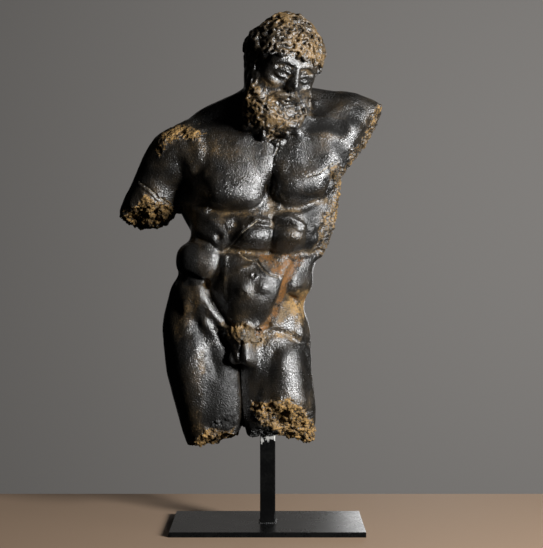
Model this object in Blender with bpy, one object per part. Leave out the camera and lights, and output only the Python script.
# A decorator's antique-finish fragment of Hercules: a torso cast in resin, held up on a steel
# post that stands on a steel plate. Metres, +Z up, +X to the viewer's right, -Y to the viewer.

import math

import bmesh
import bpy
import numpy as np
from mathutils import Matrix, Vector, noise
from mathutils.bvhtree import BVHTree

# Driving dimensions of the stand
PLATE_WIDTH = 0.300
PLATE_DEPTH = 0.150
PLATE_THICKNESS = 0.008
PLATE_EDGE_ROUND = 0.0008
POST_SIDE = 0.024
POST_CORNER_ROUND = 0.0015
SOCKET_DEPTH = 0.016
SEAT_GAP = 0.0003

# Driving dimensions of the figure
FIGURE_HEIGHT = 0.681
FIGURE_LIFT = 0.123
CLAY_GRAIN = 0.0031
FIGURE_TRIANGLES = 9200

# The figure is modelled in shares of its own height, from its lowest point and the post's axis.
# THIGH_BREAK is how high the left thigh, which the post enters, is broken off above that point.
CLAY_HEIGHT = 990.0
SHARE = FIGURE_HEIGHT / CLAY_HEIGHT
THIGH_BREAK = 24.0

# The head's own frame: where the middle of the skull is, and how the head turns, bows and leans
HEAD_PLACE = (34.0, -58.0, 874.0)
HEAD_TURN = math.radians(26.0)
HEAD_BOW = math.radians(22.0)
HEAD_LEAN = math.radians(11.0)

# Middle and half sizes of the hair and the beard, in the head's frame
HAIR = (Vector((0, 16, 22)), Vector((82, 96, 78)))
BEARD = (Vector((0, -46, -88)), Vector((72, 62, 68)))

# How the surface is looked at when a line is drawn on it
FRONT = Matrix.Identity(4)
BACK = Matrix.Rotation(math.pi, 4, "Z")


def head_frame():
    turned = (
        Matrix.Rotation(HEAD_LEAN, 4, "Y")
        @ Matrix.Rotation(HEAD_TURN, 4, "Z")
        @ Matrix.Rotation(HEAD_BOW, 4, "X")
    )
    return Matrix.Translation(HEAD_PLACE) @ turned


# The clay: masses laid on each other


def mass(clay, *balls, frame=FRONT, cuts=()):
    """One convex mass stretched over balls, each (x, y, z, radius or three radii), then cut by planes."""
    lump = bmesh.new()
    for x, y, z, *radii in balls:
        size = radii if len(radii) == 3 else radii * 3
        place = Matrix.Translation((x, y, z)) @ Matrix.Diagonal((*size, 1.0))
        bmesh.ops.create_icosphere(lump, subdivisions=3, radius=1.0, matrix=frame @ place)
    bmesh.ops.delete(lump, geom=lump.edges[:], context="EDGES_FACES")
    hull = bmesh.ops.convex_hull(lump, input=lump.verts[:])
    inside = {v for v in hull["geom_interior"] + hull["geom_unused"] if isinstance(v, bmesh.types.BMVert)}
    bmesh.ops.delete(lump, geom=list(inside), context="VERTS")
    for point, outward in cuts:
        everything = lump.verts[:] + lump.edges[:] + lump.faces[:]
        bmesh.ops.bisect_plane(
            lump, geom=everything, plane_co=frame @ Vector(point),
            plane_no=frame.to_3x3() @ Vector(outward), clear_outer=True,
        )
        bmesh.ops.holes_fill(lump, edges=[e for e in lump.edges if e.is_boundary])
    bmesh.ops.recalc_face_normals(lump, faces=lump.faces[:])
    laid = bpy.data.meshes.new("laid")
    lump.to_mesh(laid)
    lump.free()
    clay.from_mesh(laid)
    bpy.data.meshes.remove(laid)


def build_trunk(clay):
    # Rib cage, waist and pelvis, each leaning a little over the one below
    mass(clay, (-95, 15, 650, 90), (76, 5, 655, 86), (-88, 8, 550, 88), (58, 2, 552, 88),
         (-72, 25, 712, 70), (56, 20, 726, 70), (-22, 44, 690, 66))
    mass(clay, (-88, 5, 550, 86), (54, 0, 550, 86), (-96, -2, 455, 82), (34, -6, 452, 80))
    mass(clay, (-98, -4, 448, 78), (32, -6, 432, 76), (-138, 18, 335, 88), (-8, 10, 308, 84))
    mass(clay, (-132, 44, 352, 62), (-36, 42, 340, 60), (-150, 60, 300, 66), (-20, 58, 285, 66))


def build_shoulders(clay):
    # Slopes from the neck out to both shoulders
    mass(clay, (-14, 40, 796, 50), (-112, 38, 754, 40), (-176, 30, 712, 42), (-40, 42, 715, 60))
    mass(clay, (20, 40, 796, 50), (100, 36, 772, 46), (165, 24, 768, 52), (50, 40, 720, 60))


def build_right_arm(clay):
    # The stump ends above the elbow in a break that faces down and a little forward
    elbow_break = ((-275, 35, 530), (-0.05, -0.42, -0.90))
    mass(clay, (-186, 12, 700, 54), (-214, 14, 688, 57), (-236, 18, 640, 60), (-214, 6, 655, 60))
    mass(clay, (-214, 18, 690, 56), (-243, 26, 625, 61), (-272, 36, 560, 64), (-298, 44, 490, 60),
         cuts=(elbow_break,))


def build_left_shoulder(clay):
    # The raised shoulder is broken off just past the joint, along a slope that goes on to the flank
    arm_break = ((201, -10, 690), (0.84, -0.26, -0.47))
    mass(clay, (120, 20, 742, 62), (180, 15, 748, 66), (236, 20, 748, 52), (260, 25, 700, 50),
         cuts=(arm_break,))
    mass(clay, (110, 0, 690, 66), (165, -8, 708, 62), (220, 0, 700, 60), cuts=(arm_break,))
    mass(clay, (96, 4, 590, 56), (112, 0, 520, 44), (92, 4, 470, 44), (130, 6, 620, 40))


def build_chest(clay):
    mass(clay, (-48, -58, 604, 50, 56, 52), (-104, -52, 604, 50, 56, 50), (-130, -34, 646, 46, 46, 56),
         (-66, -40, 696, 56, 44, 42), (-172, -16, 690, 46))
    mass(clay, (56, -58, 606, 44, 56, 50), (108, -52, 614, 46, 54, 50), (128, -34, 656, 44, 46, 52),
         (88, -40, 708, 50, 44, 42), (178, -22, 730, 46))


def build_belly(clay):
    # The straight muscle down the front, in its upper half, then the full lower belly
    mass(clay, (-30, -58, 524, 36), (50, -58, 526, 36), (-30, -52, 440, 40), (38, -52, 440, 40))
    mass(clay, (-36, -54, 486, 52, 48, 42), (-60, -40, 492, 50, 48, 42))
    mass(clay, (54, -54, 488, 50, 48, 42), (72, -40, 492, 44, 48, 42))
    mass(clay, (-62, -52, 388, 58), (2, -56, 390, 54), (-34, -62, 376, 58), (-56, -52, 326, 50),
         (-26, -50, 305, 46))
    # The rolls of muscle above the hips
    mass(clay, (-148, -18, 440, 62, 56, 42), (-148, -18, 418, 62, 56, 42), (-118, -38, 420, 44, 44, 44),
         (-150, 32, 436, 61, 56, 46))
    mass(clay, (66, -28, 384, 38), (58, -22, 402, 42), (62, 24, 392, 42))


def build_hips(clay):
    mass(clay, (-168, 16, 350, 60), (-174, 14, 282, 70), (-152, 40, 300, 74))
    mass(clay, (20, 8, 335, 60), (20, 8, 280, 70), (8, 34, 280, 70))
    mass(clay, (-152, 58, 305, 78), (-136, 70, 268, 68), (-170, 40, 300, 68))
    mass(clay, (-16, 58, 280, 76), (-8, 62, 248, 68), (18, 40, 280, 62))
    mass(clay, (-52, -54, 280, 46), (-50, -46, 250, 42))


def build_thighs(clay):
    right_break = (((-130, 0, 12), (0.32, -0.30, -0.90)), ((-130, 0, 0), (0.0, 0.0, -1.0)))
    mass(clay, (-164, 14, 270, 80), (-152, 6, 190, 83), (-133, 0, 100, 74), (-120, 0, 10, 58),
         (-116, 0, -60, 52), cuts=right_break)
    left_break = (
        ((30, -60, 72), (0.26, -0.72, -0.64)),
        ((0, 0, THIGH_BREAK - 2), (-0.12, 0.0, -0.99)),
    )
    mass(clay, (14, 8, 260, 78), (19, -2, 180, 81), (27, -12, 100, 84), (34, -18, 30, 80),
         (36, -20, -60, 76), cuts=left_break)


def build_back(clay):
    # Broad muscles down the sides of the back, the shoulder blades and the cords beside the spine
    mass(clay, (-152, 32, 645, 44), (-166, 28, 562, 42), (-128, 40, 480, 36))
    mass(clay, (122, 28, 650, 46), (112, 20, 555, 44), (58, 40, 470, 38))
    mass(clay, (-152, 66, 700, 44), (-120, 82, 640, 36), (-84, 82, 696, 40), (-140, 70, 735, 30))
    mass(clay, (112, 66, 728, 44), (76, 82, 656, 36), (20, 86, 708, 40), (110, 66, 760, 30))
    mass(clay, (-8, 58, 805, 42), (-84, 78, 738, 34), (26, 82, 750, 34), (-36, 90, 640, 30),
         (-40, 88, 580, 20))
    mass(clay, (-76, 72, 615, 32), (-98, 46, 470, 32), (-122, 46, 400, 32))
    mass(clay, (2, 74, 615, 32), (-38, 46, 470, 32), (-62, 44, 396, 32))


def build_neck(clay, head):
    throat = head @ Vector((0, -14, -72))
    nape = head @ Vector((0, 34, -44))
    mass(clay, (0, 26, 775, 60), (*throat, 54), (*nape, 58))


def build_head(clay, head):
    mass(clay, (0, 8, 14, 74, 92, 78), frame=head)
    mass(clay, (-36, -44, -14, 33), (36, -44, -14, 33), (-30, -44, 22, 34), (30, -44, 22, 34),
         (-22, -42, -72, 26), (22, -42, -72, 26), (0, -60, -80, 24), frame=head)
    for side in (-1, 1):
        mass(clay, (side * 34, -68, 15, 9), (side * 10, -79, 13, 9), frame=head)
        mass(clay, (side * 44, -56, -18, 14), (side * 36, -64, -20, 12), frame=head)
        mass(clay, (side * 5, -84, -54, 8), (side * 30, -70, -70, 8), frame=head)
        mass(clay, (side * 77, 6, -4, 6, 14, 20), frame=head)
    mass(clay, (0, -80, 10, 7), (0, -97, -30, 8), (-9, -86, -33, 7), (9, -86, -33, 7), frame=head)
    mass(clay, (-9, -80, -63, 5), (9, -80, -63, 5), (0, -82, -64, 5), frame=head)
    # Beard: one mass round the jaw, thrown forward over the chest
    mass(clay, (-50, -16, -46, 24), (50, -16, -46, 24), (-44, -48, -68, 24), (44, -52, -70, 24),
         (-30, -64, -104, 24), (30, -66, -104, 24), (0, -78, -110, 24), (0, -70, -130, 20), frame=head)
    # Hair: a cap over the skull that stops at the forehead and comes down to the nape
    mass(clay, (0, 16, 22, 78, 92, 74), frame=head, cuts=(((0, -82, 42), (0.0, -0.35, -0.55)),))


def curl_sites(count):
    """Directions spread evenly over a ball, by the golden angle."""
    golden = math.pi * (3.0 - math.sqrt(5.0))
    for i in range(count):
        z = 1.0 - 2.0 * (i + 0.5) / count
        across = math.sqrt(1.0 - z * z)
        yield Vector((across * math.cos(golden * i), across * math.sin(golden * i), z))


def curl(clay, spot, radius, head):
    place = head @ Matrix.Translation(spot)
    bmesh.ops.create_icosphere(clay, subdivisions=2, radius=radius, matrix=place)


def build_curls(clay, head):
    for i, way in enumerate(curl_sites(170)):
        spot = HAIR[0] + way * HAIR[1]
        over_forehead = spot.z > 42 - 0.55 * (spot.y + 82)
        if over_forehead and spot.z > -46:
            curl(clay, spot, (13.0, 9.5, 11.5)[i % 3], head)
    for i, way in enumerate(curl_sites(130)):
        spot = BEARD[0] + way * BEARD[1]
        if way.y < 0.45 and spot.z < -66 - 18 * (1 - abs(way.x)):
            curl(clay, spot, (12.5, 9.5, 11.0)[i % 3], head)


def build_groin(clay):
    mass(clay, (-50, -90, 250, 11), (-47, -100, 210, 10))
    mass(clay, (-74, -82, 214, 17), (-72, -80, 228, 12))
    mass(clay, (-40, -80, 208, 16), (-42, -80, 226, 12))


# Carving: lines drawn on the surface, each (path, width, height), raised or cut


def surface_of(mesh):
    """The mesh's points and normals, as arrays."""
    points = np.empty(len(mesh.vertices) * 3, np.float32)
    normals = np.empty(len(mesh.vertices) * 3, np.float32)
    mesh.vertices.foreach_get("co", points)
    mesh.vertices.foreach_get("normal", normals)
    return points.reshape(-1, 3), normals.reshape(-1, 3)


def line_on(tree, path, view):
    """Where a path's points (across, up), seen along the view's +Y, meet the surface."""
    far, along = 600.0, view.to_3x3() @ Vector((0, 1, 0))
    hits = [tree.ray_cast(view @ Vector((across, -far, up)), along)[0] for across, up in path]
    return [np.array(hit) for hit in hits if hit is not None]


def distance_to_line(points, line):
    nearest = np.full(len(points), np.inf)
    for a, b in zip(line, line[1:] or line):
        run = b - a
        t = np.clip((points - a) @ run / max(run @ run, 1e-9), 0.0, 1.0)
        nearest = np.minimum(nearest, np.linalg.norm(points - a - t[:, None] * run, axis=1))
    return nearest


def carve(mesh, strokes, view=FRONT):
    """Raises the surface along each path by its height, or cuts it where the height is negative."""
    tree = BVHTree.FromPolygons([v.co for v in mesh.vertices], [p.vertices for p in mesh.polygons])
    points, normals = surface_of(mesh)
    rise = np.zeros(len(points), np.float32)
    for path, width, height in strokes:
        line = line_on(tree, path, view)
        if line:
            near = np.clip(1.0 - distance_to_line(points, line) / width, 0.0, 1.0)
            rise += height * near * near * (3.0 - 2.0 * near)
    points += normals * rise[:, None]
    mesh.vertices.foreach_set("co", points.ravel())
    mesh.update()


def front_strokes():
    chest = [
        ([(21, 705), (15, 640), (12, 590), (16, 552)], 24, -10),
        ([(-150, 566), (-100, 543), (-64, 540), (8, 546)], 20, -10),
        ([(22, 546), (74, 553), (120, 565), (150, 584)], 20, -10),
        ([(-152, 600), (-160, 650), (-182, 700), (-200, 735)], 24, -7),
        ([(160, 690), (172, 715), (150, 750)], 26, -5),
        ([(-20, 728), (-90, 738), (-165, 748)], 16, 4),
        ([(50, 732), (110, 756), (180, 782)], 16, 4),
    ]
    upper_belly = [
        ([(-34, 522), (-6, 525)], 22, 6),
        ([(38, 525), (66, 524)], 22, 6),
        ([(-40, 484), (-14, 484)], 44, 9),
        ([(38, 486), (64, 486)], 44, 9),
        ([(13, 530), (11, 490), (8, 452)], 18, -9),
        ([(-44, 508), (10, 509), (84, 508)], 12, -6),
        ([(-96, 460), (-52, 446), (17, 440), (84, 444), (116, 460)], 24, -11),
    ]
    ribs = [
        ([(-150, 520), (-120, 505), (-92, 462)], 18, -5),
        ([(-178, 560), (-150, 540)], 18, 5),
        ([(-176, 530), (-142, 512)], 18, 5),
        ([(-160, 500), (-124, 484)], 18, 5),
    ]
    belly = [
        ([(-94, 460), (-102, 425), (-104, 395), (-118, 378)], 18, -8),
        ([(-204, 400), (-171, 389), (-140, 374), (-118, 378)], 20, -8),
        ([(-184, 366), (-150, 346), (-122, 310), (-92, 284)], 26, 4),
        ([(-134, 360), (-112, 324), (-84, 294)], 16, -7),
        ([(-40, 350), (0, 372)], 60, 5),
        ([(70, 438), (50, 410), (34, 377), (26, 343), (14, 308), (-4, 278)], 22, -11),
        ([(100, 338), (68, 334), (46, 348)], 18, -8),
        ([(-88, 284), (-50, 276), (-10, 282)], 14, -4),
    ]
    thighs = [
        ([(-200, 372), (-168, 310), (-140, 240)], 22, 6),
        ([(-150, 330), (-128, 270), (-100, 205)], 16, 7),
        ([(-160, 300), (-136, 240), (-112, 180)], 14, -6),
        ([(-24, 130), (6, 214), (44, 254)], 26, -5),
        ([(50, 256), (84, 226), (96, 170)], 20, -3),
        ([(50, 220), (62, 110)], 50, 8),
        ([(-20, 250), (-30, 190)], 30, 4),
        ([(-180, 220), (-170, 110)], 60, 5),
        ([(-60, 190), (-66, 130), (-58, 70)], 16, -6),
    ]
    return chest + upper_belly + ribs + belly + thighs


def back_strokes():
    return [
        ([(8, 770), (34, 690), (40, 610), (52, 520), (76, 430), (92, 372)], 26, -13),
        ([(90, 345), (88, 300), (84, 235)], 24, -18),
        ([(-62, 214), (-20, 204), (60, 214)], 24, -9),
        ([(100, 212), (140, 204), (205, 216)], 24, -9),
        ([(150, 430), (110, 400), (92, 372)], 22, -6),
        ([(20, 400), (60, 390), (92, 372)], 22, -6),
        ([(60, 740), (86, 680), (110, 600)], 20, -6),
        ([(-10, 750), (-40, 690), (-70, 610)], 20, -6),
        ([(130, 190), (124, 60)], 18, -6),
        ([(-20, 190), (-28, 60)], 18, -6),
    ]


def face_strokes():
    strokes = [([(-16, -59), (16, -59)], 6, -4)]
    for side in (-1, 1):
        strokes.append(([(side * 18, 1), (side * 34, 0)], 15, -8))
        strokes.append(([(side * 20, 0), (side * 32, 0)], 8, 5))
        strokes.append(([(side * 10, -30), (side * 15, -38)], 7, -3))
    return strokes


def roughen(mesh, places, grain):
    """Breaks up the surface round each (place, reach, height), as broken stone."""
    points, normals = surface_of(mesh)
    for place, reach, height in places:
        near = np.clip(2.0 - 2.0 * np.linalg.norm(points - np.array(place), axis=1) / reach, 0.0, 1.0)
        for i in np.flatnonzero(near > 0.0):
            rough = noise.fractal(Vector(points[i]) / grain, 1.0, 2.0, 3)
            points[i] += normals[i] * (rough * height * near[i])
    mesh.vertices.foreach_set("co", points.ravel())
    mesh.update()


def build_figure(material):
    head = head_frame()
    clay = bmesh.new()
    build_trunk(clay)
    build_shoulders(clay)
    build_right_arm(clay)
    build_left_shoulder(clay)
    build_chest(clay)
    build_belly(clay)
    build_hips(clay)
    build_thighs(clay)
    build_back(clay)
    build_neck(clay, head)
    build_head(clay, head)
    build_curls(clay, head)
    build_groin(clay)
    mesh = bpy.data.meshes.new("figure")
    clay.to_mesh(mesh)
    clay.free()
    figure = bpy.data.objects.new("figure", mesh)
    bpy.context.scene.collection.objects.link(figure)

    # One skin over all the masses, eased where they meet
    skin = figure.modifiers.new("skin", "REMESH")
    skin.mode = "VOXEL"
    skin.voxel_size = CLAY_GRAIN / SHARE
    settle(figure)
    ease_below_head(figure, 26)
    carve(figure.data, front_strokes())
    carve(figure.data, back_strokes(), BACK)
    ease_below_head(figure, 2)
    carve(figure.data, face_strokes(), head)
    breaks = [((-275, 10, 520), 90, 6), ((40, -70, 50), 100, 8), ((-100, -50, 20), 70, 6)]
    roughen(figure.data, breaks, 24)

    figure.data.transform(Matrix.Translation((0, 0, FIGURE_LIFT)) @ Matrix.Scale(SHARE, 4))
    fewer = figure.modifiers.new("fewer", "DECIMATE")
    triangles = sum(len(p.vertices) - 2 for p in figure.data.polygons)
    fewer.ratio = FIGURE_TRIANGLES / triangles
    figure.data.shade_smooth()
    figure.data.materials.append(material)
    return figure


def ease_below_head(figure, times):
    """Smooths the body, and the hair, beard and face only a little."""
    group = figure.vertex_groups.new(name="body")
    to_head = head_frame().inverted()
    for vertex in figure.data.vertices:
        spot = to_head @ vertex.co
        away = min(
            Vector(d / (s + 15) for d, s in zip(spot - middle, size)).length
            for middle, size in (HAIR, BEARD)
        )
        group.add([vertex.index], min(1.0, max(0.06, 4 * away - 4)), "REPLACE")
    ease = figure.modifiers.new("ease", "SMOOTH")
    ease.factor = 0.5
    ease.iterations = times
    ease.vertex_group = group.name
    settle(figure)


def settle(obj):
    """Makes what the modifiers show the object's own mesh."""
    evaluated = obj.evaluated_get(bpy.context.evaluated_depsgraph_get())
    mesh = bpy.data.meshes.new_from_object(evaluated)
    obj.modifiers.clear()
    obj.data = mesh


# The stand


def block(name, size, middle, round_edge, material):
    mesh = bpy.data.meshes.new(name)
    shape = bmesh.new()
    bmesh.ops.create_cube(shape, size=1.0, matrix=Matrix.Diagonal((*size, 1.0)))
    shape.to_mesh(mesh)
    shape.free()
    obj = bpy.data.objects.new(name, mesh)
    obj.location = middle
    obj.data.materials.append(material)
    edge = obj.modifiers.new("edge", "BEVEL")
    edge.width = round_edge
    edge.segments = 3
    bpy.context.scene.collection.objects.link(obj)
    return obj


def finish(name, colour, roughness, metallic):
    material = bpy.data.materials.new(name)
    material.use_nodes = True
    surface = material.node_tree.nodes["Principled BSDF"]
    surface.inputs["Base Color"].default_value = (*colour, 1.0)
    surface.inputs["Roughness"].default_value = roughness
    surface.inputs["Metallic"].default_value = metallic
    return material


def build():
    for obj in list(bpy.data.objects):
        bpy.data.objects.remove(obj)
    patina = finish("dark_patina", (0.035, 0.030, 0.026), 0.35, 0.0)
    black = finish("black_steel", (0.012, 0.012, 0.012), 0.30, 0.6)
    figure = build_figure(patina)
    seat = FIGURE_LIFT + THIGH_BREAK * SHARE + SOCKET_DEPTH
    post_bottom = PLATE_THICKNESS + SEAT_GAP
    post_height = seat - post_bottom
    block("base_plate", (PLATE_WIDTH, PLATE_DEPTH, PLATE_THICKNESS), (0, 0, PLATE_THICKNESS / 2),
          PLATE_EDGE_ROUND, black)
    block("post", (POST_SIDE, POST_SIDE, post_height), (0, 0, post_bottom + post_height / 2),
          POST_CORNER_ROUND, black)
    cutter_side = POST_SIDE + 2 * SEAT_GAP
    cutter = block("socket_cutter", (cutter_side, cutter_side, post_height),
                   (0, 0, post_bottom + post_height / 2 + SEAT_GAP), POST_CORNER_ROUND, black)
    cutter.hide_render = True
    cutter.display_type = "WIRE"
    socket = figure.modifiers.new("socket", "BOOLEAN")
    socket.operation = "DIFFERENCE"
    socket.object = cutter


build()
